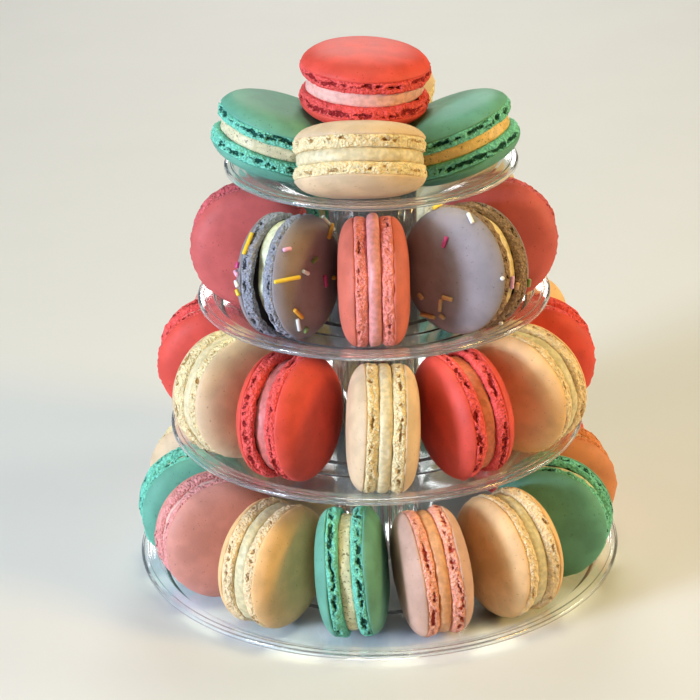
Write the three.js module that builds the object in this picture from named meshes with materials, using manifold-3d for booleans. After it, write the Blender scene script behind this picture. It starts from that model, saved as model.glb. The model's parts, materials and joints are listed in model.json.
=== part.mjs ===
// A macaron tower: four clear plastic trays on fluted columns, filled with macarons.
// Millimetres, +Z up, the front faces -Y. The origin is the middle of the base's underside.
import * as THREE from "three";
import { mergeVertices } from "three/addons/utils/BufferGeometryUtils.js";
import Module from "manifold-3d";

const wasm = await Module();
wasm.setup();

// The stand. crown is the height of a tray's rim above the table, depth is how far its floor
// lies under the crown, slope is the width of the wall between them, and step is the radius of
// the floor's shallow raised middle.
const sheet = 1.0;
const trays = [
  { tier: "base", rim: 92.5, crown: 5.2, depth: 4.2, slope: 2.8, step: 56 },
  { tier: "second", rim: 78, crown: 58.9, depth: 4.2, slope: 2.8, step: 42 },
  { tier: "third", rim: 65.5, crown: 108.8, depth: 4.2, slope: 2.8, step: 31 },
  { tier: "top", rim: 53.5, crown: 159.6, depth: 8.2, slope: 17, step: 14 },
];
const flangeWidth = 6.0;
const lipDrop = 1.8;
const edgeRound = 0.7;
const stepRise = 0.6;
const traySides = 36;
const columnRadius = 16.4;
const columnRibs = 10;
const ribDepth = 1.1;
const columnWall = 1.4;
const joinGap = 0.2;

// A macaron: two domed shells, each on a craggy foot, with a filling between the feet.
const macaronWidth = 46;
const macaronThickness = 25.4;
const macaronSides = 12;
const footCrag = 0.55;
const restGap = 0.2;
const restStep = 0.125;
// Half the side view from the top of a dome to the middle of the filling, as shares of the
// radius and of half the thickness.
const halfProfile = [
  [0.64, 0.935],
  [0.92, 0.72],
  [1.0, 0.49],
  [0.965, 0.22],
];
const fillingRadius = 0.93;

const flavours = {
  mint: 0x6cc3a8,
  cream: 0xe8d8b0,
  rose: 0xe6b2ae,
  almond: 0xe9cc98,
  peach: 0xe9ba9c,
  apricot: 0xe3a878,
  coral: 0xe0504a,
  berry: 0xcf656b,
  lavender: 0xa3a7b6,
  salmon: 0xf0806c,
};

// The macarons that stand on edge like wheels. at is the angle round the tray in degrees, from
// the front towards +X. turn is a macaron's turn from pointing at the axis, and lean its tip.
const standing = {
  base: [
    { flavour: "cream", at: -106.5, out: 69, turn: -1 },
    { flavour: "mint", at: -82, out: 69.5, turn: -2, lean: 4, wide: 45, thick: 24.8 },
    { flavour: "rose", at: -60, out: 69, turn: 8, lean: 5, thick: 24.8 },
    { flavour: "almond", at: -34, out: 69.5 },
    { flavour: "mint", at: -8.5, out: 67.5, turn: -4, lean: 5, wide: 47, thick: 25 },
    { flavour: "peach", at: 15.5, out: 69.5, turn: 4, lean: 4 },
    { flavour: "almond", at: 41.5, out: 71, turn: 9 },
    { flavour: "mint", at: 69, out: 69.5, turn: -6, wide: 45.2, thick: 24.8 },
    { flavour: "apricot", at: 93, out: 69, turn: -5, lean: 1, wide: 45.2, thick: 25 },
    { flavour: "coral", at: 119, out: 69, turn: 1, lean: -1 },
    { flavour: "cream", at: 146, out: 68.5, turn: -1, lean: -2 },
    { flavour: "mint", at: 173, out: 69.3, turn: 2 },
    { flavour: "rose", at: 201, out: 68.8, turn: 3, lean: -4 },
    { flavour: "peach", at: 228, out: 69, turn: 1, lean: -2 },
  ],
  second: [
    { flavour: "coral", at: -95.5, out: 59.5, turn: -5, lean: -3 },
    { flavour: "cream", at: -62.5, out: 58.5, turn: -12, lean: 6 },
    { flavour: "coral", at: -33.2, out: 56.5, turn: -4, lean: 4, thick: 26.4 },
    { flavour: "cream", at: 2, out: 59, lean: -3, thick: 26 },
    { flavour: "coral", at: 32.8, out: 57, turn: 7, lean: 3, thick: 25.2 },
    { flavour: "almond", at: 60.8, out: 62, turn: 9, lean: 2, thick: 24.6 },
    { flavour: "coral", at: 91, out: 60, lean: -1, wide: 45, thick: 24.6 },
    { flavour: "almond", at: 119.5, out: 60.5, turn: -1, lean: -1, thick: 24.5 },
    { flavour: "mint", at: 147.5, out: 60.5, turn: 1, thick: 24.6 },
    { flavour: "coral", at: 176.5, out: 60, turn: -1, lean: -1, thick: 24.6 },
    { flavour: "cream", at: 205.5, out: 60.5, lean: 1, thick: 24.6 },
    { flavour: "rose", at: 234.5, out: 60.5, turn: -1, lean: -1, thick: 24.6 },
  ],
  third: [
    { flavour: "berry", at: -87.5, out: 44.5, turn: 1, lean: 5, wide: 45 },
    { flavour: "lavender", at: -41, out: 45.5, turn: -11, lean: 5, wide: 44.6, thick: 24.6 },
    { flavour: "salmon", at: 0, out: 43, turn: -1 },
    { flavour: "lavender", at: 44.5, out: 46.5, turn: -5, lean: -8, thick: 24.6 },
    { flavour: "berry", at: 85.5, out: 45.5, turn: -3, lean: -12, wide: 45 },
    { flavour: "cream", at: 131, out: 45, lean: 2 },
    { flavour: "coral", at: 180, out: 45, turn: 1, lean: -2 },
    { flavour: "mint", at: 227, out: 45.5, turn: 2, lean: 1 },
  ],
};

// The macarons that lie on the top tray: tilt is how far the outer edge is raised, turn is how
// far the raised side is off the line from the middle, and raise is how high one is held off
// the tray by its neighbours. The last one lies on the other four, its middle lift above the
// crown, tipped towards the angle given.
const lying = [
  { flavour: "mint", at: -89.4, out: 34.1, tilt: 17.7, turn: 3.5, wide: 45.6, thick: 25.2 },
  { flavour: "cream", at: -6, out: 37.1, tilt: 24.3, turn: 5, raise: 0.7, wide: 46.5, thick: 26 },
  { flavour: "mint", at: 82.2, out: 30.6, tilt: 20.8, turn: -2.5, wide: 45.8, thick: 25 },
  { flavour: "cream", at: 178, out: 37.8, tilt: 13.8, turn: 2.5 },
];
const topmost = { flavour: "coral", x: -1.6, y: -0.6, lift: 28.2, tilt: 3.8, towards: 72,
  wide: 46.8, thick: 26.8 };

// Sugar sprinkles stuck to the two lavender macarons, each from one end to the other in the
// disc's own millimetres: along its radius, down, and along its axis.
const sprinkleWidth = 1.5;
const sprinkleLift = 0.3;
const sprinkles = {
  third_macaron_2: [
    [[11.5, -18.5, -5], [18, -13, -5.5]],
    [[21, -5.5, 7.5], [11.5, -4.5, 11.5]],
    [[-15.5, -13, 8], [-8.5, -10.5, 11]],
    [[16, 6, 10.5], [12, 10.5, 11]],
    [[14.5, 10, 10.5], [12.5, 15, 9.5]],
    [[10, -6, 12], [7, -4, 12]],
    [[-14, -17.5, 7], [-18.5, -11, 8.5]],
    [[15, -15, 8.5], [12, -14.5, 9.5]],
    [[-3, 0, 12], [-3, 4.5, 12]],
    [[18.5, -10.5, -8], [19.5, -8.5, -8]],
    [[18.5, -7, -9.5], [21, -6.5, -7]],
    [[20.5, -4.5, -8.5], [21.5, -2.5, -7]],
    [[21, -1.5, -8], [22, 0.5, -7]],
    [[0.5, -7.5, 12], [3.5, -7, 12]],
    [[9.5, 17, 9.5], [9, 15, 10.5]],
    [[-8.5, 3, 12], [-10, 3.5, 12]],
  ],
  third_macaron_4: [
    [[5, -21.5, -7.5], [8.5, -19, -9]],
    [[0, -13, -11.5], [-1, -9, -12]],
    [[22, -2.5, -2.5], [22, 2, -2.5]],
    [[22, 0.5, 1], [22, 3, 1]],
    [[21.5, -3, -8], [22, -2, -7.5]],
    [[22.5, 0, 7], [22.5, 3, 7]],
    [[-10.5, 10, -11.5], [-8.5, 11.5, -11.5]],
    [[0.5, 8.5, -12], [5, 8.5, -12]],
    [[0, 9.5, -12], [-0.5, 14, -11.5]],
    [[-10, 17.5, -9.5], [-3, 17, -11]],
    [[-0.5, 15.5, -11.5], [1.5, 16.5, -11]],
    [[-10.5, -21.5, -3], [-9.5, -19.5, -7.5]],
    [[14.5, 17, 3], [14, 17, 4.5]],
  ],
};
const strewnCount = 5;
const strewnReach = 18;

// A repeatable source of numbers from 0 to 1.
function seeded(seed) {
  let state = seed >>> 0;
  return () => {
    state = (state + 0x6d2b79f5) >>> 0;
    let mixed = Math.imul(state ^ (state >>> 15), state | 1);
    mixed ^= mixed + Math.imul(mixed ^ (mixed >>> 7), mixed | 61);
    return ((mixed ^ (mixed >>> 14)) >>> 0) / 4294967296;
  };
}

const radians = THREE.MathUtils.degToRad;

// A round solid about Z from a side view of [radius, height] points.
function turned(sideView, sides) {
  const points = sideView.map(([radius, height]) => new THREE.Vector2(radius, height));
  return new THREE.LatheGeometry(points, sides).rotateX(Math.PI / 2);
}

function meshOf(name, geometry, color, roughness, extra = {}) {
  const material = new THREE.MeshStandardMaterial({ color, roughness, metalness: 0, ...extra });
  const mesh = new THREE.Mesh(geometry, material);
  mesh.name = name;
  return mesh;
}

function clearMesh(name, geometry) {
  return meshOf(name, geometry, 0xe8eef0, 0.08, { transparent: true, opacity: 0.3 });
}

// A tray's upper surface from the middle to the edge, as [radius, height] points.
function trayTop({ rim, crown, depth, slope, step }) {
  const floor = crown - depth;
  return [
    [0, floor + stepRise],
    [step - stepRise, floor + stepRise],
    [step, floor],
    [rim - flangeWidth - slope, floor],
    [rim - flangeWidth, crown],
    [rim - edgeRound, crown],
    [rim, crown - edgeRound],
  ];
}

function trayGeometry(tray) {
  const { rim, crown, depth, slope } = tray;
  const floor = crown - depth;
  const underside = [
    [rim, crown - lipDrop],
    [rim - sheet, crown - lipDrop],
    [rim - sheet, crown - sheet],
    [rim - flangeWidth - sheet / 2, crown - sheet],
    [rim - flangeWidth - slope - sheet / 2, floor - sheet],
    [0, floor - sheet],
  ];
  return turned([...trayTop(tray), ...underside].reverse(), traySides);
}

// Height of a tray's upper surface at a distance from the axis. The flats between the tray's
// corners lie a little further in than the corners do.
function surfaceHeight(tray, cornerDistance) {
  const distance = cornerDistance / Math.cos(Math.PI / traySides);
  const top = trayTop(tray);
  for (let i = 1; i < top.length; i++) {
    const [innerRadius, innerHeight] = top[i - 1];
    const [outerRadius, outerHeight] = top[i];
    if (distance <= outerRadius) {
      const share = (distance - innerRadius) / (outerRadius - innerRadius);
      return THREE.MathUtils.lerp(innerHeight, outerHeight, share);
    }
  }
  return -Infinity;
}

// A column's outline: ribs that stand out from a round wall, each with two straight sides.
function columnOutline() {
  const points = [];
  for (let rib = 0; rib < columnRibs; rib++) {
    const corners = [
      [0.0, columnRadius - ribDepth],
      [0.3, columnRadius - ribDepth],
      [0.42, columnRadius],
      [0.88, columnRadius],
    ];
    for (const [share, radius] of corners) {
      const angle = ((rib + share) / columnRibs) * 2 * Math.PI;
      points.push(new THREE.Vector2(radius * Math.cos(angle), radius * Math.sin(angle)));
    }
  }
  return new THREE.Shape(points);
}

function columnGeometry(length) {
  const outline = columnOutline();
  const bore = new THREE.Path();
  bore.absarc(0, 0, columnRadius - ribDepth - columnWall, 0, 2 * Math.PI, true);
  outline.holes.push(bore);
  const settings = { depth: length, bevelEnabled: false, curveSegments: 6 };
  return new THREE.ExtrudeGeometry(outline, settings);
}

// A macaron about its own Z axis. The feet's edge goes in and out as the crumb does.
function macaronGeometry({ wide = macaronWidth, thick = macaronThickness }, random) {
  const half = halfProfile.map(([out, up]) => [(out * wide) / 2, (up * thick) / 2]);
  const mirrored = half.map(([radius, height]) => [radius, -height]).reverse();
  const middle = [(fillingRadius * wide) / 2, 0];
  const sideView = [[0, thick / 2], ...half, middle, ...mirrored, [0, -thick / 2]].reverse();
  const geometry = turned(sideView, macaronSides);
  const position = geometry.getAttribute("position");
  const rings = sideView.length;
  const footRings = [rings - 1 - half.length, half.length];
  for (const ring of footRings) {
    const crags = Array.from({ length: macaronSides }, () => (random() * 2 - 1) * footCrag);
    for (let side = 0; side <= macaronSides; side++) {
      const index = side * rings + ring;
      const x = position.getX(index);
      const y = position.getY(index);
      const grown = 1 + crags[side % macaronSides] / Math.hypot(x, y);
      position.setXY(index, x * grown, y * grown);
    }
  }
  return geometry;
}

// Axes of a disc that stands on its edge on a tray.
function standingBasis(at, turn, lean) {
  const heading = radians(at - turn);
  const tip = radians(lean);
  const along = new THREE.Vector3(Math.cos(heading), Math.sin(heading), 0);
  const axis = along.multiplyScalar(Math.cos(tip)).setZ(Math.sin(tip));
  const outward = new THREE.Vector3(Math.sin(heading), -Math.cos(heading), 0);
  const down = new THREE.Vector3().crossVectors(axis, outward);
  return new THREE.Matrix4().makeBasis(outward, down, axis);
}

// Turn of a disc that lies flat and is then tipped towards an angle round the tray.
function lyingBasis(towards, tilt) {
  const across = new THREE.Vector3(Math.cos(radians(towards)), Math.sin(radians(towards)), 0);
  return new THREE.Matrix4().makeRotationAxis(across, radians(tilt));
}

// Lets a macaron down on its tray until its lowest point all but touches. Corners and points
// along the edges between them are tried.
function restOn(mesh, tray) {
  mesh.updateMatrix();
  const { index, attributes } = mesh.geometry;
  const start = new THREE.Vector3();
  const end = new THREE.Vector3();
  const point = new THREE.Vector3();
  let raise = -Infinity;
  for (let i = 0; i < index.count; i++) {
    const nextCorner = i % 3 === 2 ? i - 2 : i + 1;
    start.fromBufferAttribute(attributes.position, index.getX(i)).applyMatrix4(mesh.matrix);
    end.fromBufferAttribute(attributes.position, index.getX(nextCorner)).applyMatrix4(mesh.matrix);
    for (let share = 0; share < 1; share += restStep) {
      point.lerpVectors(start, end, share);
      const under = surfaceHeight(tray, Math.hypot(point.x, point.y));
      raise = Math.max(raise, under + restGap - point.z);
    }
  }
  mesh.position.z += raise;
}

function macaronMesh(name, item, seed) {
  const geometry = macaronGeometry(item, seeded(seed));
  return meshOf(name, geometry, flavours[item.flavour], 0.75);
}

// The far side of each sprinkled macaron has a few more, strewn at random.
function strewn(side, random) {
  return Array.from({ length: strewnCount }, () => {
    const angle = random() * 2 * Math.PI;
    const reach = strewnReach * Math.sqrt(random());
    const heading = random() * Math.PI;
    const half = 1.2 + random() * 1.6;
    const x = reach * Math.cos(angle);
    const y = reach * Math.sin(angle);
    const dx = half * Math.cos(heading);
    const dy = half * Math.sin(heading);
    return [[x - dx, y - dy, side * 12], [x + dx, y + dy, side * 12]];
  });
}

function solidOf(geometry) {
  const bare = new THREE.BufferGeometry().setIndex(geometry.index);
  bare.setAttribute("position", geometry.getAttribute("position"));
  const merged = mergeVertices(bare, 1e-3);
  const vertProperties = merged.getAttribute("position").array;
  const triVerts = new Uint32Array(merged.index.array);
  return new wasm.Manifold(new wasm.Mesh({ numProp: 3, vertProperties, triVerts }));
}

// A sprinkle laid on a macaron where the line from the disc's middle through it comes out.
function sprinkleGeometry([start, end], disc) {
  const from = new THREE.Vector3(...start);
  const to = new THREE.Vector3(...end);
  const outward = from.clone().add(to).normalize();
  const ray = new THREE.Raycaster(outward.clone().multiplyScalar(60), outward.clone().negate());
  const { point, face } = ray.intersectObject(disc)[0];
  const along = to.clone().sub(from);
  const length = along.length();
  const level = along.projectOnPlane(face.normal).normalize();
  const across = new THREE.Vector3().crossVectors(face.normal, level);
  const place = new THREE.Matrix4().makeBasis(level, across, face.normal);
  place.setPosition(point.addScaledVector(face.normal, sprinkleLift));
  return new THREE.BoxGeometry(length, sprinkleWidth, sprinkleWidth).applyMatrix4(place);
}

function withSprinkles(geometry, list) {
  const disc = new THREE.Mesh(geometry);
  const solids = list.map((ends) => solidOf(sprinkleGeometry(ends, disc)));
  const whole = wasm.Manifold.union([solidOf(geometry), ...solids]).getMesh();
  const fused = new THREE.BufferGeometry();
  fused.setAttribute("position", new THREE.BufferAttribute(whole.vertProperties, 3));
  fused.setIndex(new THREE.BufferAttribute(whole.triVerts, 1));
  const merged = mergeVertices(fused, 1e-3);
  merged.computeVertexNormals();
  return merged;
}

const tower = new THREE.Group();
trays.forEach((tray, level) => {
  const tier = new THREE.Group();
  tier.add(clearMesh("tray_" + tray.tier, trayGeometry(tray)));

  const next = trays[level + 1];
  if (next) {
    const foot = tray.crown - tray.depth + stepRise + joinGap;
    const head = next.crown - next.depth - sheet - joinGap;
    const column = clearMesh("column_" + tray.tier, columnGeometry(head - foot));
    column.position.z = foot;
    tier.add(column);
  }

  (standing[tray.tier] ?? []).forEach((item, index) => {
    const mesh = macaronMesh(tray.tier + "_macaron_" + (index + 1), item, level * 100 + index);
    mesh.setRotationFromMatrix(standingBasis(item.at, item.turn ?? 0, item.lean ?? 0));
    const angle = radians(item.at);
    mesh.position.set(item.out * Math.sin(angle), -item.out * Math.cos(angle), 0);
    restOn(mesh, tray);
    const seen = sprinkles[mesh.name];
    if (seen) {
      const farSide = -Math.sign(seen[1][0][2]);
      const list = [...seen, ...strewn(farSide, seeded(600 + index))];
      mesh.geometry = withSprinkles(mesh.geometry, list);
    }
    tier.add(mesh);
  });
  tower.add(tier);
});

const topTray = trays.at(-1);
lying.forEach((item, index) => {
  const mesh = macaronMesh("top_macaron_" + (index + 1), item, 400 + index);
  mesh.setRotationFromMatrix(lyingBasis(item.at + 180 + (item.turn ?? 0), item.tilt));
  const angle = radians(item.at);
  mesh.position.set(item.out * Math.sin(angle), -item.out * Math.cos(angle), 0);
  restOn(mesh, topTray);
  mesh.position.z += item.raise ?? 0;
  tower.add(mesh);
});

const crowning = macaronMesh("top_macaron_" + (lying.length + 1), topmost, 500);
crowning.setRotationFromMatrix(lyingBasis(topmost.towards, topmost.tilt));
crowning.position.set(topmost.x, topmost.y, topTray.crown + topmost.lift);
tower.add(crowning);

export default tower;
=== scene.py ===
# Looks for a macaron tower: a clear moulded plastic stand filled with baked macarons.
# Metres, +Z up, the front faces -Y. Every piece stands where its CAD node stands.
import json
import math
from functools import cache

import bpy
import numpy as np
from mathutils import Matrix, Vector


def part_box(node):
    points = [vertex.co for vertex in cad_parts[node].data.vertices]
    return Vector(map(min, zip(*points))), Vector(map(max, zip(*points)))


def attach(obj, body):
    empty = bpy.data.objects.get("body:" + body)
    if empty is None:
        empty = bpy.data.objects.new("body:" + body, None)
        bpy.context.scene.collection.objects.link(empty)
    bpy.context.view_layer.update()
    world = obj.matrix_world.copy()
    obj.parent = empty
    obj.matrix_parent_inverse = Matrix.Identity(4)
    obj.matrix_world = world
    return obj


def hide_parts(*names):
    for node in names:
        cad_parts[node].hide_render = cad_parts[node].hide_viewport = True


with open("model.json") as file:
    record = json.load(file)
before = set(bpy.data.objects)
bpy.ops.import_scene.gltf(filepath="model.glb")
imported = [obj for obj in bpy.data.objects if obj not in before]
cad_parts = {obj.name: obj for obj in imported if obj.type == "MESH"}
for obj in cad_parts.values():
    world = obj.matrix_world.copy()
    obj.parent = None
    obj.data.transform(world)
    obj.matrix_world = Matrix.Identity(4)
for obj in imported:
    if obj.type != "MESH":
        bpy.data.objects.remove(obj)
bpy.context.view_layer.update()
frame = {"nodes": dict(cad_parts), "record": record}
mm = 0.001


def linearColour(hexValue, alpha=1.0):
    # sRGB hex to the linear colour that the shader works in
    channels = [((hexValue >> shift) & 255) / 255 for shift in (16, 8, 0)]
    linear = [c / 12.92 if c <= 0.04045 else ((c + 0.055) / 1.055) ** 2.4 for c in channels]
    return (*linear, alpha)


def toned(colour, factor, lift=0.0):
    # the same colour darker or paler
    return tuple(min(1.0, c * factor + lift) for c in colour[:3]) + (1,)


def perMm(size):
    # texture scale that gives cells of this many millimetres
    return 1 / (size * mm)


def addNode(tree, kind, settings=None, links=None):
    # settings and links go to a property or an input, by its name or number
    node = tree.nodes.new(kind)
    for key, value in (settings or {}).items():
        if isinstance(key, str) and hasattr(node, key):
            setattr(node, key, value)
        else:
            node.inputs[key].default_value = value
    for key, source in (links or {}).items():
        output = source if isinstance(source, bpy.types.NodeSocket) else source.outputs[0]
        tree.links.new(output, node.inputs[key])
    return node


def newMaterial(name):
    material = bpy.data.materials.new(name)
    material.use_nodes = True
    tree = material.node_tree
    tree.nodes.clear()
    coords = addNode(tree, "ShaderNodeTexCoord").outputs["Object"]
    return material, tree, coords


def finishMaterial(tree, shader):
    addNode(tree, "ShaderNodeOutputMaterial", links={"Surface": shader})


soft = {"interpolation_type": "SMOOTHSTEP"}
colourMix = {"data_type": "RGBA"}      # inputs 0 share, 6 first, 7 second, output 2

# Baked almond meringue: shell is the smooth skin, foot the crumb that rose under it, then the
# dark painted as shade inside its holes, and filling the buttercream or ganache in between. Seam
# is how far the filling stands out, in millimetres, holes how torn the feet are, and specks how
# dark the seeds in a filling are.
flavours = {
    "mint": {"shell": 0x639E86, "foot": 0x7ACEB0, "crack": 0x124C3E, "filling": 0xDACC9C,
             "seam": -0.9, "holes": 0.95, "specks": 0.5},
    "cream": {"shell": 0xD6B791, "foot": 0xE6D4A4, "crack": 0xC08E50, "filling": 0xDCC99E,
              "seam": 0.7, "holes": 0.7},
    "rose": {"shell": 0xD18C7A, "foot": 0xE49A90, "crack": 0xA05452, "filling": 0xE6B8A8,
             "seam": -0.2, "holes": 0.7},
    "almond": {"shell": 0xE9BA81, "foot": 0xECD2A4, "crack": 0xBC8A52, "filling": 0xD6C69A,
               "seam": 0.4, "holes": 0.7},
    "peach": {"shell": 0xC79C86, "foot": 0xEEAA8E, "crack": 0xBC4838, "filling": 0xD69866,
              "seam": 1.0, "holes": 0.85},
    "apricot": {"shell": 0xD18557, "foot": 0xDC8A54, "crack": 0xA8521E, "filling": 0xE6CC8C,
                "seam": 0.3, "holes": 0.8},
    "coral": {"shell": 0xD54B3C, "foot": 0xEE5850, "crack": 0x961A1A, "filling": 0xEAB2A0,
              "seam": -0.6, "holes": 0.9},
    "berry": {"shell": 0xC45A54, "foot": 0xD06060, "crack": 0x8A2A2E, "filling": 0xE0A498,
              "seam": -0.5, "holes": 0.8},
    "lavender": {"shell": 0x8D817F, "foot": 0x9A9AA2, "crack": 0x38343C, "filling": 0xDCD8B4,
                 "seam": -1.0, "holes": 0.75},
    "salmon": {"shell": 0xCE6954, "foot": 0xEE8E7E, "crack": 0xB2483E, "filling": 0xDE928A,
               "seam": 1.2, "holes": 0.7},
}
# what one macaron has that its flavour's others do not
oddOnes = {
    "second_macaron_3": {"filling": 0xCC6E66, "seam": -1.6},
    "second_macaron_4": {"seam": 1.5},
    "second_macaron_5": {"filling": 0xCC6E4A},
    "third_macaron_4": {"foot": 0x9C7C5C, "crack": 0x3A2418, "filling": 0xE8CE96},
    "top_macaron_1": {"filling": 0xE0D0A6, "seam": -0.5, "specks": 0.7},
    "top_macaron_3": {"filling": 0xF2C878, "seam": -0.5, "specks": 0.6},
    "third_macaron_2": {"sunk": 2.6},
    "third_macaron_3": {"proud": 1.6},
    "base_macaron_5": {"specks": 0.85},
}


@cache
def shellMaterial(colour):
    # almond meringue piped flat and dried to a skin before it is baked: satin and even, with
    # soft clouds of colour and a few pinholes where air broke through
    material, tree, coords = newMaterial("bakedMeringueSkin_%06x" % colour)
    base = linearColour(colour)
    cloudy = addNode(tree, "ShaderNodeTexNoise", {"Scale": perMm(9), "Detail": 3.0},
                     {"Vector": coords})
    cloudShare = addNode(tree, "ShaderNodeMapRange", {**soft, "From Min": 0.35, "From Max": 0.65},
                         {"Value": cloudy})
    skin = addNode(tree, "ShaderNodeMix", {**colourMix, 6: toned(base, 0.9),
                                           7: toned(base, 1.07, 0.004)}, {0: cloudShare})
    # ground almond just under the skin, really about 0.3 mm, drawn coarser so that it shows
    grain = addNode(tree, "ShaderNodeTexNoise", {"Scale": perMm(0.6), "Detail": 2.0},
                    {"Vector": coords})
    bubbles = addNode(tree, "ShaderNodeTexNoise", {"Scale": perMm(0.9), "Detail": 1.0},
                      {"Vector": coords})
    pinholes = addNode(tree, "ShaderNodeMapRange", {**soft, "From Min": 0.7, "From Max": 0.77},
                       {"Value": bubbles})
    # the pinholes painted darker: painted shade in their small hollows
    skin = addNode(tree, "ShaderNodeMix", {**colourMix, 7: toned(base, 0.6)},
                   {0: pinholes, 6: skin.outputs[2]})
    gloss = addNode(tree, "ShaderNodeMapRange", {"To Min": 0.5, "To Max": 0.64},
                    {"Value": cloudy})
    relief = addNode(tree, "ShaderNodeMath", {"operation": "SUBTRACT"}, {0: grain, 1: pinholes})
    bump = addNode(tree, "ShaderNodeBump", {"Strength": 0.34, "Distance": 0.16 * mm},
                   {"Height": relief})
    shader = addNode(tree, "ShaderNodeBsdfPrincipled",
                     {"IOR": 1.4, "Specular IOR Level": 0.38, "Subsurface Weight": 0.08,
                      "Subsurface Scale": 1.2 * mm, "Subsurface Radius": (1.0, 0.6, 0.4)},
                     {"Base Color": skin.outputs[2], "Roughness": gloss, "Normal": bump})
    finishMaterial(tree, shader)
    return material


@cache
def footMaterial(colour, crack):
    # crumb torn open as the batter rose under its skin: dull and granular, with ragged holes
    material, tree, coords = newMaterial("bakedCrumbFoot_%06x" % colour)
    base = linearColour(colour)
    # the colour of the painted shade inside the holes
    holeShadeColour = linearColour(crack)
    hollow = addNode(tree, "ShaderNodeAttribute", {"attribute_name": "crack"}).outputs["Fac"]
    # crumbs of ground almond, really 0.3 to 0.8 mm, drawn coarser so that they show
    crumbs = addNode(tree, "ShaderNodeTexVoronoi", {"Scale": perMm(0.95)}, {"Vector": coords})
    between = addNode(tree, "ShaderNodeMapRange", {**soft, "From Min": 0.25, "From Max": 0.8},
                      {"Value": crumbs})
    tint = addNode(tree, "ShaderNodeTexNoise", {"Scale": perMm(1.6), "Detail": 3.0},
                   {"Vector": coords})
    tintShare = addNode(tree, "ShaderNodeMapRange", {**soft, "From Min": 0.38, "From Max": 0.64},
                        {"Value": tint})
    tone = addNode(tree, "ShaderNodeMix", {**colourMix, 6: toned(base, 0.9),
                                           7: toned(base, 1.12, 0.02)}, {0: tintShare})
    # painted shade in the gaps between the crumbs, a little of the holes' shade colour
    crumbGapShade = addNode(tree, "ShaderNodeMath", {"operation": "MULTIPLY", 1: 0.3}, {0: between})
    tone = addNode(tree, "ShaderNodeMix", {**colourMix, 7: toned(holeShadeColour, 1.6)},
                   {0: crumbGapShade, 6: tone.outputs[2]})
    # painted shade in small pits all over, and in the long holes with torn edges where the foot's
    # hole field is high
    torn = addNode(tree, "ShaderNodeTexNoise",
                   {"Scale": perMm(0.95), "Detail": 3.0, "Roughness": 0.6}, {"Vector": coords})
    ragged = addNode(tree, "ShaderNodeMath", {"operation": "MULTIPLY_ADD", 1: 1.2, 2: -0.6},
                     {0: torn})
    opened = addNode(tree, "ShaderNodeMath", {"operation": "ADD"}, {0: hollow, 1: ragged})
    dark = addNode(tree, "ShaderNodeMapRange", {**soft, "From Min": 0.46, "From Max": 0.6},
                   {"Value": opened})
    tone = addNode(tree, "ShaderNodeMix", {**colourMix, 7: holeShadeColour},
                   {0: dark, 6: tone.outputs[2]})
    hole = addNode(tree, "ShaderNodeMath", {"operation": "MULTIPLY_ADD", 1: 1.3},
                   {0: dark, 2: between})
    relief = addNode(tree, "ShaderNodeMath", {"operation": "SUBTRACT", 0: 1.0}, {1: hole})
    bump = addNode(tree, "ShaderNodeBump", {"Strength": 0.8, "Distance": 0.45 * mm},
                   {"Height": relief})
    shader = addNode(tree, "ShaderNodeBsdfPrincipled",
                     {"IOR": 1.45, "Specular IOR Level": 0.35, "Roughness": 0.78,
                      "Subsurface Weight": 0.08, "Subsurface Scale": 1.0 * mm,
                      "Subsurface Radius": (1.0, 0.6, 0.4)},
                     {"Base Color": tone.outputs[2], "Normal": bump})
    finishMaterial(tree, shader)
    return material


@cache
def fillingMaterial(colour, specks):
    # buttercream piped and squeezed flat: a soft sheen, creamy lumps, some with dark specks
    material, tree, coords = newMaterial("pipedButtercream_%06x" % colour)
    base = linearColour(colour)
    lumps = addNode(tree, "ShaderNodeTexNoise", {"Scale": perMm(1.8), "Detail": 3.0},
                    {"Vector": coords})
    # darker where the lumps dip and paler on their tops, following the bump: painted shade on the
    # lumps
    lumpShadeShare = addNode(tree, "ShaderNodeMapRange", {**soft, "From Min": 0.36, "From Max": 0.64},
                        {"Value": lumps})
    tone = addNode(tree, "ShaderNodeMix", {**colourMix, 6: toned(base, 0.84),
                                           7: toned(base, 1.05, 0.01)}, {0: lumpShadeShare})
    if specks:
        seeds = addNode(tree, "ShaderNodeTexNoise", {"Scale": perMm(0.9), "Detail": 1.0},
                        {"Vector": coords})
        spots = addNode(tree, "ShaderNodeMapRange",
                        {**soft, "From Min": 0.61, "From Max": 0.68, "To Max": specks},
                        {"Value": seeds})
        tone = addNode(tree, "ShaderNodeMix", {**colourMix, 7: linearColour(0x5A5434)},
                       {0: spots, 6: tone.outputs[2]})
    bump = addNode(tree, "ShaderNodeBump", {"Strength": 0.5, "Distance": 0.3 * mm},
                   {"Height": lumps})
    shader = addNode(tree, "ShaderNodeBsdfPrincipled",
                     {"IOR": 1.46, "Specular IOR Level": 0.42, "Roughness": 0.45,
                      "Subsurface Weight": 0.15, "Subsurface Scale": 1.4 * mm,
                      "Subsurface Radius": (1.0, 0.7, 0.5)},
                     {"Base Color": tone.outputs[2], "Normal": bump})
    finishMaterial(tree, shader)
    return material


def sugarMaterial(name, colour):
    # sugar paste extruded as thin rods and tumbled until the outside is hard and polished
    material, tree, coords = newMaterial("polishedSugar_" + name)
    base = linearColour(colour)
    worn = addNode(tree, "ShaderNodeTexNoise", {"Scale": perMm(1.2), "Detail": 2.0},
                   {"Vector": coords})
    tone = addNode(tree, "ShaderNodeMix", {**colourMix, 6: toned(base, 0.84), 7: base},
                   {0: worn})
    shader = addNode(tree, "ShaderNodeBsdfPrincipled",
                     {"IOR": 1.5, "Roughness": 0.35, "Subsurface Weight": 0.15,
                      "Subsurface Scale": 0.8 * mm},
                     {"Base Color": tone.outputs[2]})
    finishMaterial(tree, shader)
    return material


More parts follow.
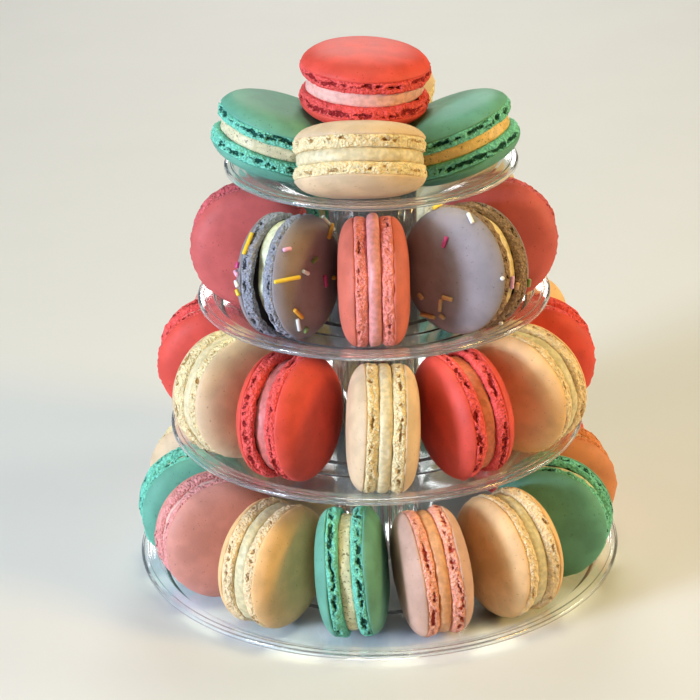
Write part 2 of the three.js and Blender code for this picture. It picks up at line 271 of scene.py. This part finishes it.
def meshPiece(name, points, faces, materials, faceMaterials=None, smooth=True):
    mesh = bpy.data.meshes.new(name)
    mesh.from_pydata([tuple(p) for p in points], [], [tuple(f) for f in faces])
    for material in materials:
        mesh.materials.append(material)
    if faceMaterials is not None:
        mesh.polygons.foreach_set("material_index", np.asarray(faceMaterials, dtype=np.int32))
    mesh.polygons.foreach_set("use_smooth", np.full(len(mesh.polygons), smooth))
    mesh.update()
    piece = bpy.data.objects.new(name, mesh)
    bpy.context.collection.objects.link(piece)
    return piece


def ringFaces(rings, sides, start=0):
    # quads between rings of points laid out ring after ring
    faces = []
    for ring in range(rings - 1):
        low = start + ring * sides
        for side in range(sides):
            after = (side + 1) % sides
            faces.append((low + side, low + after, low + sides + after, low + sides + side))
    return faces


def waveField(rng, sides, rows, pattern):
    # smooth random values from 0 to 1 over a band that closes on itself
    cellsRound, cellsAcross = macaron["waves"][pattern]
    grid = rng.random((cellsAcross + 2, cellsRound))
    u = np.arange(sides) / sides * cellsRound
    v = np.linspace(0, cellsAcross, rows)
    i = np.floor(u).astype(int)
    j = np.floor(v).astype(int)
    fu = u - i
    fv = v - j
    fu = fu * fu * (3 - 2 * fu)
    fv = (fv * fv * (3 - 2 * fv))[:, None]
    left = i % cellsRound
    right = (i + 1) % cellsRound
    lower = grid[j][:, left] * (1 - fu) + grid[j][:, right] * fu
    upper = grid[j + 1][:, left] * (1 - fu) + grid[j + 1][:, right] * fu
    return lower * (1 - fv) + upper * fv


def smoothStep(low, high, values):
    share = np.clip((values - low) / (high - low), 0, 1)
    return share * share * (3 - 2 * share)


macaron = {
    "domeSides": 90,
    "footSides": 250,
    "footRows": 15,
    "fillingSides": 120,
    "fillingRows": 9,
    # side views from the middle of a dome down: share of the radius, share of half the height
    "dome": [(0.05, 1.0), (0.2, 0.997), (0.4, 0.985), (0.54, 0.962), (0.65, 0.93), (0.75, 0.885),
             (0.82, 0.84), (0.88, 0.78), (0.93, 0.705), (0.962, 0.64), (0.983, 0.58),
             (0.988, 0.545), (0.975, 0.52), (0.95, 0.51)],
    "foot": [(0.955, 0.54), (0.985, 0.51), (1.0, 0.455), (0.998, 0.39), (0.986, 0.3),
             (0.976, 0.24), (0.95, 0.192), (0.89, 0.178)],
    "filling": [(0.86, 0.205), (0.905, 0.18), (0.926, 0.12), (0.93, 0.0), (0.926, -0.12),
                (0.905, -0.18), (0.86, -0.205)],
    "widestAt": 0.49,      # the CAD solid's widest ring, share of half the height
    "chainAt": 0.38,       # where across a foot its holes run, from the shell to the filling
    "chainWander": 0.26,
    "chainWidth": 0.2,
    "openAway": 0.42,      # how open the crumb is everywhere, and what the chain adds to it
    "openAlong": 0.74,
    "holeEdge": (0.44, 0.62),    # where on the foot's field a hole starts and is at full depth
    "shellFade": 0.1,      # how far in from each side of a foot its holes and lumps begin
    "fillingFade": 0.2,
    "lumpFade": 0.15,
    # how far each one stands out or goes in, in millimetres
    "crackDepth": 1.2,
    "crumbHeight": 0.36,
    "humpHeight": 0.5,
    "footSwell": 0.6,
    "footWaver": 0.5,
    "skinWaver": 0.16,
    "skinRise": 0.3,
    "edgeWaver": 0.7,
    "fillingOoze": 1.3,
    "fillingLumps": 0.6,
    # waves of each pattern round the macaron and across its band
    "waves": {"skin": (9, 3), "edge": (16, 2), "chain": (15, 1), "broadHoles": (46, 3),
              "fineHoles": (112, 7), "crumbs": (112, 7), "humps": (52, 3), "swell": (11, 1),
              "footWaver": (30, 2), "ooze": (13, 1), "lumps": (54, 4)},
    "seed": 40,
}


def sampled(sideView, rows):
    # the side view's points spread evenly along its length
    steps = np.hypot(*np.diff(np.array(sideView), axis=0).T)
    reach = np.concatenate([[0], np.cumsum(steps)])
    wanted = np.linspace(0, reach[-1], rows)
    return [(np.interp(w, reach, [p[0] for p in sideView]),
             np.interp(w, reach, [p[1] for p in sideView])) for w in wanted]


def bandPoints(profile, sides, radius, half, side):
    angles = np.arange(sides) / sides * 2 * math.pi
    out = np.array([p[0] for p in profile])[:, None] * radius * np.ones(sides)
    up = np.array([p[1] for p in profile])[:, None] * half * side * np.ones(sides)
    return angles, out, up


def toXyz(angles, out, up):
    x = out * np.cos(angles)
    y = out * np.sin(angles)
    return np.stack([x, y, up], axis=-1).reshape(-1, 3)


def buildDome(rng, radius, half, side):
    # not quite round, with an edge that wavers
    sides = macaron["domeSides"]
    angles, out, up = bandPoints(macaron["dome"], sides, radius, half, side)
    waver = waveField(rng, sides, len(out), "skin") - 0.5
    edge = waveField(rng, sides, len(out), "edge") - 0.5
    reach = np.array([p[0] for p in macaron["dome"]])[:, None] ** 2
    out = out + waver * 2 * macaron["skinWaver"] * reach
    up = up + side * (edge * macaron["edgeWaver"] * reach ** 6
                      + waver[::-1] * macaron["skinRise"] * (1 - reach))
    return angles, out, up


def buildFoot(rng, radius, half, side, holes):
    # crumb lumps, and a wandering chain of torn holes; the field says how deep a point is in one
    sides, rows = macaron["footSides"], macaron["footRows"]
    angles, out, up = bandPoints(sampled(macaron["foot"], rows), sides, radius, half, side)
    across = np.linspace(0, 1, rows)[:, None]
    wander = waveField(rng, sides, rows, "chain") - 0.5
    strayed = across - macaron["chainAt"] - macaron["chainWander"] * wander
    chain = np.exp(-(strayed / macaron["chainWidth"]) ** 2)
    broad = waveField(rng, sides, rows, "broadHoles")
    fine = waveField(rng, sides, rows, "fineHoles")
    openness = macaron["openAway"] + macaron["openAlong"] * chain
    field = (0.5 * broad + 0.5 * fine) * openness * holes
    field = field * smoothStep(0.0, macaron["shellFade"], across) \
        * smoothStep(0.0, macaron["fillingFade"], 1 - across)
    lumps = waveField(rng, sides, rows, "crumbs") - 0.5
    humps = waveField(rng, sides, rows, "humps") - 0.5
    swell = waveField(rng, sides, rows, "swell") - 0.5
    inner = smoothStep(0.0, macaron["lumpFade"], across)
    out = out + inner * (lumps * 2 * macaron["crumbHeight"] + humps * macaron["humpHeight"]
                         + swell * macaron["footSwell"])
    out = out - smoothStep(*macaron["holeEdge"], field) * macaron["crackDepth"]
    up = up + side * (waveField(rng, sides, rows, "footWaver") - 0.5) * macaron["footWaver"]
    return angles, out, up, field


def buildFilling(rng, radius, half, look, upAngle):
    # squeezed out unevenly; proud at the top, or sunk all round but there, where look says so
    sides, rows = macaron["fillingSides"], macaron["fillingRows"]
    angles, out, up = bandPoints(sampled(macaron["filling"], rows), sides, radius, half, 1)
    ooze = waveField(rng, sides, rows, "ooze") - 0.5
    lumps = waveField(rng, sides, rows, "lumps") - 0.5
    towardsTop = 0.5 + 0.5 * np.cos(angles - upAngle)
    bulge = np.sin(np.linspace(0, math.pi, rows))[:, None] ** 0.5
    more = look["seam"] + look.get("proud", 0.0) * towardsTop
    less = look.get("sunk", 0.0) * smoothStep(0.05, 0.3, 1 - towardsTop)
    out = out + bulge * (ooze * macaron["fillingOoze"] + lumps * macaron["fillingLumps"]
                         + more) - less
    return angles, out, up


def buildMacaron(name, radius, half, look, seed, upAngle):
    # radius and half the height in millimetres, about the disc's own Z axis
    rng = np.random.default_rng(seed)
    points, faces, slots, holeShades = [], [], [], []

    def addBand(angles, out, up, slot, flip, crack=None, capped=False):
        start = sum(len(p) for p in points)
        rings, sides = out.shape
        points.append(toXyz(angles, out, up))
        holeShades.append(np.zeros(out.size) if crack is None else crack.reshape(-1))
        made = ringFaces(rings, sides, start)
        if capped:
            made.append(tuple(range(start, start + sides))[::-1])
        faces.extend([f[::-1] for f in made] if flip else made)
        slots.extend([slot] * len(made))

    for side in (1, -1):
        addBand(*buildDome(rng, radius, half, side), 0, side > 0, capped=True)
        angles, out, up, field = buildFoot(rng, radius, half, side, look["holes"])
        addBand(angles, out, up, 1, side > 0, crack=field)
    addBand(*buildFilling(rng, radius, half, look, upAngle), 2, True)

    materials = [shellMaterial(look["shell"]), footMaterial(look["foot"], look["crack"]),
                 fillingMaterial(look["filling"], look.get("specks", 0.0))]
    piece = meshPiece(name, np.concatenate(points) * mm, faces, materials, slots)
    # the hole field, which the foot material turns into painted shade in the holes
    attribute = piece.data.attributes.new("crack", "FLOAT", "POINT")
    attribute.data.foreach_set("value", np.concatenate(holeShades).astype(np.float32))
    return piece


def discOf(node):
    # a macaron's middle, axis, radius and half height, read from its CAD solid
    mesh = frame["nodes"][node].data
    flat = np.empty(len(mesh.vertices) * 3)
    mesh.vertices.foreach_get("co", flat)
    world = np.array(frame["nodes"][node].matrix_world)
    corners = np.unique(np.round(flat.reshape(-1, 3) @ world[:3, :3].T + world[:3, 3], 6), axis=0)
    low, high = (np.array(corner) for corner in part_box(node))
    middle = (low + high) / 2
    spread = np.linalg.eigh(np.cov((corners - middle).T))
    axis = spread[1][:, 0]
    axis = axis if axis[np.abs(axis).argmax()] > 0 else -axis
    along = (corners - middle) @ axis
    reach = np.linalg.norm(corners - middle - along[:, None] * axis, axis=1)
    return middle, axis, reach.max() / mm, np.abs(along).max() / mm


def basisOf(axis, middle, outward):
    # a frame whose Z is the disc's axis and whose X is as near outward as can be
    z = Vector(axis).normalized()
    x = (Vector(outward) - Vector(outward).dot(z) * z).normalized()
    y = z.cross(x)
    columns = Matrix((x, y, z)).transposed().to_4x4()
    return Matrix.Translation(Vector(middle)) @ columns


# The two macarons with sprinkles: their place on the tray, as in the part's source, and each
# sprinkle from end to end in the disc's own millimetres, with its colour.
sprinkled = {
    "third_macaron_2": {
        "at": -41, "out": 45.5, "turn": -11, "lean": 5, "wide": 44.6, "thick": 24.6,
        "sprinkles": [
            ("yellow", (11.5, -18.5, -5), (18, -13, -5.5)),
            ("yellow", (21, -5.5, 7.5), (11.5, -4.5, 11.5)),
            ("orange", (-15.5, -13, 8), (-8.5, -10.5, 11)),
            ("orange", (16, 6, 10.5), (12, 10.5, 11)),
            ("white", (14.5, 10, 10.5), (12.5, 15, 9.5)),
            ("white", (10, -6, 12), (7, -4, 12)),
            ("white", (-14, -17.5, 7), (-18.5, -11, 8.5)),
            ("pink", (15, -15, 8.5), (12, -14.5, 9.5)),
            ("magenta", (-3, 0, 12), (-3, 4.5, 12)),
            ("magenta", (18.5, -10.5, -8), (19.5, -8.5, -8)),
            ("pink", (18.5, -7, -9.5), (21, -6.5, -7)),
            ("white", (20.5, -4.5, -8.5), (21.5, -2.5, -7)),
            ("yellow", (21, -1.5, -8), (22, 0.5, -7)),
            ("green", (0.5, -7.5, 12), (3.5, -7, 12)),
            ("green", (9.5, 17, 9.5), (9, 15, 10.5)),
            ("orange", (-8.5, 3, 12), (-10, 3.5, 12)),
        ],
    },
    "third_macaron_4": {
        "at": 44.5, "out": 46.5, "turn": -5, "lean": -8, "wide": 46, "thick": 24.6,
        "sprinkles": [
            ("white", (5, -21.5, -7.5), (8.5, -19, -9)),
            ("magenta", (0, -13, -11.5), (-1, -9, -12)),
            ("pink", (22, -2.5, -2.5), (22, 2, -2.5)),
            ("tan", (22, 0.5, 1), (22, 3, 1)),
            ("white", (21.5, -3, -8), (22, -2, -7.5)),
            ("green", (22.5, 0, 7), (22.5, 3, 7)),
            ("tan", (-10.5, 10, -11.5), (-8.5, 11.5, -11.5)),
            ("tan", (0.5, 8.5, -12), (5, 8.5, -12)),
            ("tan", (0, 9.5, -12), (-0.5, 14, -11.5)),
            ("tan", (-10, 17.5, -9.5), (-3, 17, -11)),
            ("tan", (-0.5, 15.5, -11.5), (1.5, 16.5, -11)),
            ("yellow", (-10.5, -21.5, -3), (-9.5, -19.5, -7.5)),
            ("white", (14.5, 17, 3), (14, 17, 4.5)),
        ],
    },
}
sugar = {
    "width": 1.5,
    "sides": 10,
    "strewn": 5,
    "reach": 18,
    "halfLength": (1.2, 1.6),    # the shortest, and how much longer one may be
    "faceHeight": 12,
    "lifted": 0.36,        # how far its middle is above the shell, share of its width
    # the macaron's side below its domes, as smooth as a rod lies on it
    "flank": [(1.0, 0.43), (0.98, 0.27), (0.95, 0.0)],
    "seed": 600,
    "colours": {"yellow": 0xF2CE3C, "orange": 0xE8A634, "white": 0xF2EEE4, "pink": 0xEFB4CC,
                "magenta": 0xC23C78, "green": 0x7E9048, "tan": 0xCDA06A},
}


def standingDisc(node, place):
    heading = math.radians(place["at"] - place["turn"])
    tip = math.radians(place["lean"])
    angle = math.radians(place["at"])
    axis = (math.cos(heading) * math.cos(tip), math.sin(heading) * math.cos(tip), math.sin(tip))
    outward = (math.sin(heading), -math.cos(heading), 0)
    radius, half = place["wide"] / 2, place["thick"] / 2
    drop = radius * math.cos(tip) + macaron["widestAt"] * half * abs(math.sin(tip))
    middle = (place["out"] * math.sin(angle) * mm, -place["out"] * math.cos(angle) * mm,
              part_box(node)[0][2] + drop * mm)
    return middle, axis, radius, half, outward


def rodPoints(start, end, width, sides):
    # a short extruded rod with softened ends
    start, end = Vector(start), Vector(end)
    along = (end - start).normalized()
    side = along.orthogonal().normalized()
    other = along.cross(side)
    length = (end - start).length
    stations = [(0.0, 0.0), (0.0, 0.6), (0.12, 0.9), (0.3, 1.0), (length - 0.3, 1.0),
                (length - 0.12, 0.9), (length, 0.6), (length, 0.0)]
    points = []
    for reach, share in stations:
        for step in range(sides):
            angle = 2 * math.pi * step / sides
            spoke = (side * math.cos(angle) + other * math.sin(angle)) * share * width / 2
            points.append(start + along * reach + spoke)
    return points, len(stations)


def onShell(middle, along, radius, half):
    # where the line from the disc's centre through a point leaves the shell, and the way out
    profile = [(0.0, 1.0), *macaron["dome"][:-2], *sugar["flank"]]
    flatReach = math.hypot(middle[0], middle[1])
    height = abs(middle[2])
    for inner, outer in zip(profile, profile[1:]):
        r0, z0, r1, z1 = inner[0] * radius, inner[1] * half, outer[0] * radius, outer[1] * half
        # solve k * (flatReach, height) = point on this stretch of the side view
        det = flatReach * (z1 - z0) - height * (r1 - r0)
        if abs(det) < 1e-9:
            continue
        share = (height * r0 - flatReach * z0) / det
        if -1e-6 <= share <= 1 + 1e-6:
            r, z = r0 + share * (r1 - r0), z0 + share * (z1 - z0)
            away = Vector((z0 - z1, r1 - r0)).normalized()
            spoke = Vector((middle[0], middle[1], 0)).normalized()
            point = spoke * r + Vector((0, 0, math.copysign(z, middle[2])))
            normal = spoke * away.x + Vector((0, 0, math.copysign(away.y, middle[2])))
            level = (along - along.dot(normal) * normal).normalized()
            return point, normal, level
    raise ValueError("a sprinkle misses its macaron")


def strewnEnds(side, rng):
    ends = []
    shortest, longer = sugar["halfLength"]
    height = side * sugar["faceHeight"]
    for _ in range(sugar["strewn"]):
        angle = rng.random() * 2 * math.pi
        reach = sugar["reach"] * math.sqrt(rng.random())
        heading = rng.random() * math.pi
        halfLength = shortest + rng.random() * longer
        x, y = reach * math.cos(angle), reach * math.sin(angle)
        dx, dy = halfLength * math.cos(heading), halfLength * math.sin(heading)
        colour = list(sugar["colours"])[int(rng.random() * len(sugar["colours"]))]
        ends.append((colour, (x - dx, y - dy, height), (x + dx, y + dy, height)))
    return ends


def buildSprinkles(name, place, rng):
    farSide = -math.copysign(1, place["sprinkles"][1][1][2])
    rods = place["sprinkles"] + strewnEnds(farSide, rng)
    points, faces, slots = [], [], []
    names = list(sugar["colours"])
    for colour, start, end in rods:
        start, end = Vector(start), Vector(end)
        centre, normal, level = onShell((start + end) / 2, end - start,
                                        place["wide"] / 2, place["thick"] / 2)
        centre = centre + normal * sugar["width"] * sugar["lifted"]
        half = (end - start).length / 2
        made, rings = rodPoints(centre - level * half, centre + level * half,
                                sugar["width"], sugar["sides"])
        faces += ringFaces(rings, sugar["sides"], len(points))
        slots += [names.index(colour)] * ((rings - 1) * sugar["sides"])
        points += made
    return meshPiece(name, [p * mm for p in points], faces,
                     [sugarMaterials[key] for key in names], slots)


sugarMaterials = {key: sugarMaterial(key, value) for key, value in sugar["colours"].items()}
slotOf = {entry["node"]: entry["material_slot"] for entry in frame["record"]["subparts"]}
macaronNodes = [node for node in slotOf if "macaron" in node]
for number, node in enumerate(macaronNodes):
    flavour = slotOf[node].replace("_macaron", "")
    look = {**flavours[flavour], **oddOnes.get(node, {})}
    if node in sprinkled:
        middle, axis, radius, half, outward = standingDisc(node, sprinkled[node])
    else:
        middle, axis, radius, half = discOf(node)
        outward = (middle[0], middle[1], 0.0)
    placed = basisOf(axis, middle, outward)
    upAngle = math.atan2(placed[2][1], placed[2][0])
    piece = buildMacaron(node + "_baked", radius, half, look, macaron["seed"] + number,
                         upAngle)
    piece.data.transform(placed)
    pieces = [piece]
    if node in sprinkled:
        sprinkles = buildSprinkles(node + "_sprinkles", sprinkled[node],
                                   np.random.default_rng(sugar["seed"] + number))
        sprinkles.data.transform(placed)
        pieces.append(sprinkles)
    for made in pieces:
        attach(made, "root")
        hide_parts(node)
print("macarons:", len(macaronNodes))


# Clear plastic stand: trays with a flange and a sunk floor, and fluted columns between them.
stand = {
    "trays": {
        "tray_base": {"rim": 92.5, "crown": 5.2, "depth": 4.2, "slope": 2.8, "step": 56,
                      "bend": 0.7, "rings": []},
        "tray_second": {"rim": 78, "crown": 58.9, "depth": 4.2, "slope": 2.8, "step": 42,
                        "bend": 0.7, "rings": [51]},
        "tray_third": {"rim": 65.5, "crown": 108.8, "depth": 4.2, "slope": 2.8, "step": 31,
                       "bend": 0.7, "rings": [39.5, 49]},
        "tray_top": {"rim": 53.5, "crown": 159.6, "depth": 8.2, "slope": 17, "step": 14,
                     "bend": 5.0, "rings": []},
    },
    "sheet": 1.0,
    "centre": 0.5,         # the side view starts this far out, and a flat face closes it
    "flange": 6.0,
    "lipDrop": 1.8,
    "stepHeight": 0.6,
    "bead": 0.35,
    "beadHalf": 0.7,
    "ridge": (3.2, 2.9, 2.5, 2.2),    # its four corners, inward from the rim
    "ridgeHeight": 0.6,    # share of a bead's
    "traySides": 180,
    "columnRadius": 16.4,
    "ribs": 10,
    "ribSides": 20,
    "ribDepth": 1.1,
    "ribRise": (0.24, 0.46),     # where a rib's two flanks run, share of its turn
    "ribFall": (0.84, 1.0),
    "wall": 1.4,
    "tint": 0xFAFCFC,
}


def clearPlastic():
    # polystyrene injected into a polished mould: clear and glossy, with long soft flow waves
    material, tree, coords = newMaterial("mouldedClearPolystyrene")
    flow = addNode(tree, "ShaderNodeTexNoise", {"Scale": perMm(14), "Detail": 2.0},
                   {"Vector": coords})
    bump = addNode(tree, "ShaderNodeBump", {"Strength": 0.12, "Distance": 0.3 * mm},
                   {"Height": flow})
    scuffs = addNode(tree, "ShaderNodeTexNoise", {"Scale": perMm(6), "Detail": 3.0},
                     {"Vector": coords})
    haze = addNode(tree, "ShaderNodeMapRange", {"To Min": 0.03, "To Max": 0.12},
                   {"Value": scuffs})
    clear = addNode(tree, "ShaderNodeBsdfPrincipled",
                    {"Base Color": linearColour(stand["tint"]), "IOR": 1.5,
                     "Transmission Weight": 0.965},
                    {"Roughness": haze, "Normal": bump})
    # light passes through to what lies behind, as it does through a thin clear sheet
    path = addNode(tree, "ShaderNodeLightPath").outputs["Is Shadow Ray"]
    throughLight = addNode(tree, "ShaderNodeBsdfTransparent", {"Color": linearColour(0xF2F4F4)})
    shader = addNode(tree, "ShaderNodeMixShader", links={0: path, 1: clear, 2: throughLight})
    finishMaterial(tree, shader)
    return material


def rounded(corners, steps=4):
    # a side view with each corner [radius, height, fillet] turned into a small arc
    curve = []
    mostOfSide = 0.45
    for index, (r, z, fillet) in enumerate(corners):
        here = Vector((r, z))
        if fillet == 0 or index in (0, len(corners) - 1):
            curve.append(here)
            continue
        before = Vector(corners[index - 1][:2])
        after = Vector(corners[index + 1][:2])
        toBefore, toAfter = before - here, after - here
        reach = min(fillet, toBefore.length * mostOfSide, toAfter.length * mostOfSide)
        start = here + toBefore.normalized() * reach
        end = here + toAfter.normalized() * reach
        for step in range(steps + 1):
            t = step / steps
            curve.append(start * (1 - t) ** 2 + here * 2 * t * (1 - t) + end * t * t)
    return curve


def lathePiece(name, curve, sides, materials):
    # a side view turned once round the Z axis
    points = []
    for place in curve:
        for side in range(sides):
            angle = 2 * math.pi * side / sides
            points.append((place.x * math.cos(angle) * mm, place.x * math.sin(angle) * mm,
                           place.y * mm))
    last = len(points) - sides
    faces = [face[::-1] for face in ringFaces(len(curve), sides)]
    faces += [tuple(range(sides)), tuple(range(last, last + sides))[::-1]]
    return meshPiece(name, points, faces, materials)


def buildTray(node, sizes, material):
    rim, crown = sizes["rim"], sizes["crown"]
    floor = crown - sizes["depth"]
    wallFoot = rim - stand["flange"] - sizes["slope"]
    step = sizes["step"]
    sheet = stand["sheet"]
    centre = stand["centre"]
    bead, beadHalf = stand["bead"], stand["beadHalf"]
    raised = floor + stand["stepHeight"]
    ridgeTop = crown + bead * stand["ridgeHeight"]
    ridge = [rim - inward for inward in stand["ridge"]]
    rings = [corner for ring in sizes["rings"] for corner in
             ((ring - beadHalf, floor, 0.2), (ring, floor + bead, 0.3),
              (ring + beadHalf, floor, 0.2))]
    # each corner is its radius, its height and how far it is rounded
    corners = [
        (centre, raised, 0), (step - 1.0, raised, 0.5), (step, floor, 0.5),
        *rings, (wallFoot, floor, sizes["bend"]), (rim - stand["flange"], crown, 0.7),
        (ridge[0], crown, 0.2), (ridge[1], ridgeTop, 0.2),
        (ridge[2], ridgeTop, 0.2), (ridge[3], crown, 0.2),
        (rim - 0.5, crown, 0.5), (rim, crown - 0.6, 0.5),
        (rim, crown - stand["lipDrop"], 0.25), (rim - sheet, crown - stand["lipDrop"], 0.25),
        (rim - sheet, crown - sheet, 0.3),
        (rim - stand["flange"] - sheet / 2, crown - sheet, 0.6),
        (wallFoot - sheet / 2, floor - sheet, sizes["bend"]), (centre, floor - sheet, 0),
    ]
    return lathePiece(node + "_moulded", rounded(corners), stand["traySides"], [material])


def buildColumn(node, material):
    low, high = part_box(node)
    outer, inner = [], []
    sides = stand["ribs"] * stand["ribSides"]
    base = stand["columnRadius"] - stand["ribDepth"]
    bore = base - stand["wall"]
    for side in range(sides):
        share = (side / sides * stand["ribs"]) % 1.0
        angle = 2 * math.pi * side / sides
        rise = smoothStep(*stand["ribRise"], share) - smoothStep(*stand["ribFall"], share)
        reach = base + stand["ribDepth"] * float(rise)
        outer.append((reach * math.cos(angle), reach * math.sin(angle)))
        inner.append((bore * math.cos(angle), bore * math.sin(angle)))
    bottom, top = low[2], high[2]
    loops = [(inner, bottom), (outer, bottom), (outer, (bottom + top) / 2), (outer, top),
             (inner, top)]
    points = []
    for outline, height in loops:
        points += [(x * mm, y * mm, height) for x, y in outline]
    faces = ringFaces(len(loops), sides)
    last = (len(loops) - 1) * sides
    for side in range(sides):
        after = (side + 1) % sides
        faces.append((last + side, last + after, after, side))
    return meshPiece(node + "_fluted", points, faces, [material])


plastic = clearPlastic()
standPieces = {node: buildTray(node, sizes, plastic) for node, sizes in stand["trays"].items()}
for node in ("column_base", "column_second", "column_third"):
    standPieces[node] = buildColumn(node, plastic)
for node, piece in standPieces.items():
    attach(piece, "root")
    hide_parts(node)
print("stand pieces:", len(standPieces))


# Stage: a pale floor, soft studio light and the photograph's viewing angle.
stage = {
    "floorColour": 0xD2D1CF,
    "floorReach": 3.0,
    "floorDrop": 0.2 * mm,       # just clear of the tray, so that the two faces never coincide
    "lightsAim": (0, 0, 0.1),
    "lights": {
        "window": {"place": (-1.12, -0.79, 0.39), "size": 0.36, "watts": 25,
                   "colour": 0xCCDFFF},
        "upperWindow": {"place": (-0.99, -0.7, 0.8), "size": 0.5, "watts": 4.8,
                        "colour": 0xE8F8FF},
        "overhead": {"place": (0.0, -0.05, 1.5), "size": 0.5, "watts": 8.2, "colour": 0xFDFFDC},
        "lamp": {"place": (1.1, -0.51, 0.8), "size": 0.4, "watts": 10.9, "colour": 0xFFD070},
        "side": {"place": (1.35, 0.12, 0.46), "size": 0.4, "watts": 6, "colour": 0xFFFFE8},
        "back": {"place": (0.0, 1.21, 0.8), "size": 0.6, "watts": 7, "colour": 0xFFFFFF},
    },
    "sky": {"colour": 0xF4F6FA, "strength": 0.03},
}
view = {
    "distance": 0.876,
    "height": 0.08307,     # the point on the axis that it looks at
    "elevation": 23.41,
    "pan": -0.62,
    "roll": -1.25,
    "lens": 119.57,
    "sensor": 36,
}


def buildFloor():
    # painted board rolled with matt emulsion: even, dull and very slightly cloudy
    material, tree, coords = newMaterial("mattPaintedBoard")
    cloudy = addNode(tree, "ShaderNodeTexNoise", {"Scale": perMm(60), "Detail": 2.0},
                     {"Vector": coords})
    base = linearColour(stage["floorColour"])
    tone = addNode(tree, "ShaderNodeMix", {**colourMix, 6: base, 7: toned(base, 1.05)},
                   {0: cloudy})
    shader = addNode(tree, "ShaderNodeBsdfPrincipled", {"Roughness": 0.7},
                     {"Base Color": tone.outputs[2]})
    finishMaterial(tree, shader)
    reach = stage["floorReach"]
    low = -stage["floorDrop"]
    corners = [(-reach, -reach, low), (reach, -reach, low), (reach, reach, low),
               (-reach, reach, low)]
    floor = meshPiece("stageFloor", corners, [(0, 1, 2, 3)], [material], smooth=False)


def buildLight(name, settings):
    lamp = bpy.data.lights.new(name, "AREA")
    lamp.shape = "DISK"
    lamp.size = settings["size"]
    lamp.energy = settings["watts"]
    lamp.color = linearColour(settings["colour"])[:3]
    holder = bpy.data.objects.new(name, lamp)
    holder.location = settings["place"]
    aim = Vector(stage["lightsAim"]) - Vector(settings["place"])
    holder.rotation_euler = aim.to_track_quat("-Z", "Y").to_euler()
    bpy.context.collection.objects.link(holder)


def buildCamera():
    tilt = math.radians(view["elevation"])
    pan, roll = math.radians(view["pan"]), math.radians(view["roll"])
    ahead = Vector((0, math.cos(tilt), -math.sin(tilt)))
    right = Vector((1, 0, 0))
    up = right.cross(ahead)
    look = ahead * math.cos(pan) + right * math.sin(pan)
    right = right * math.cos(pan) - ahead * math.sin(pan)
    side = right * math.cos(roll) + up * math.sin(roll)
    top = up * math.cos(roll) - right * math.sin(roll)
    lens = bpy.data.cameras.new("camera")
    lens.lens = view["lens"]
    lens.sensor_width = view["sensor"]
    camera = bpy.data.objects.new("camera", lens)
    place = Vector((0, 0, view["height"])) - ahead * view["distance"]
    camera.matrix_world = Matrix.Translation(place) @ \
        Matrix((side, top, -look)).transposed().to_4x4()
    bpy.context.collection.objects.link(camera)
    bpy.context.scene.camera = camera


buildFloor()
for name, settings in stage["lights"].items():
    buildLight(name + "Light", settings)
world = bpy.data.worlds.new("studio")
world.use_nodes = True
background = world.node_tree.nodes["Background"]
background.inputs["Color"].default_value = linearColour(stage["sky"]["colour"])
background.inputs["Strength"].default_value = stage["sky"]["strength"]
bpy.context.scene.world = world
bpy.context.scene.view_settings.view_transform = "Standard"    # keeps strong food colours strong
buildCamera()
print("stage ready")
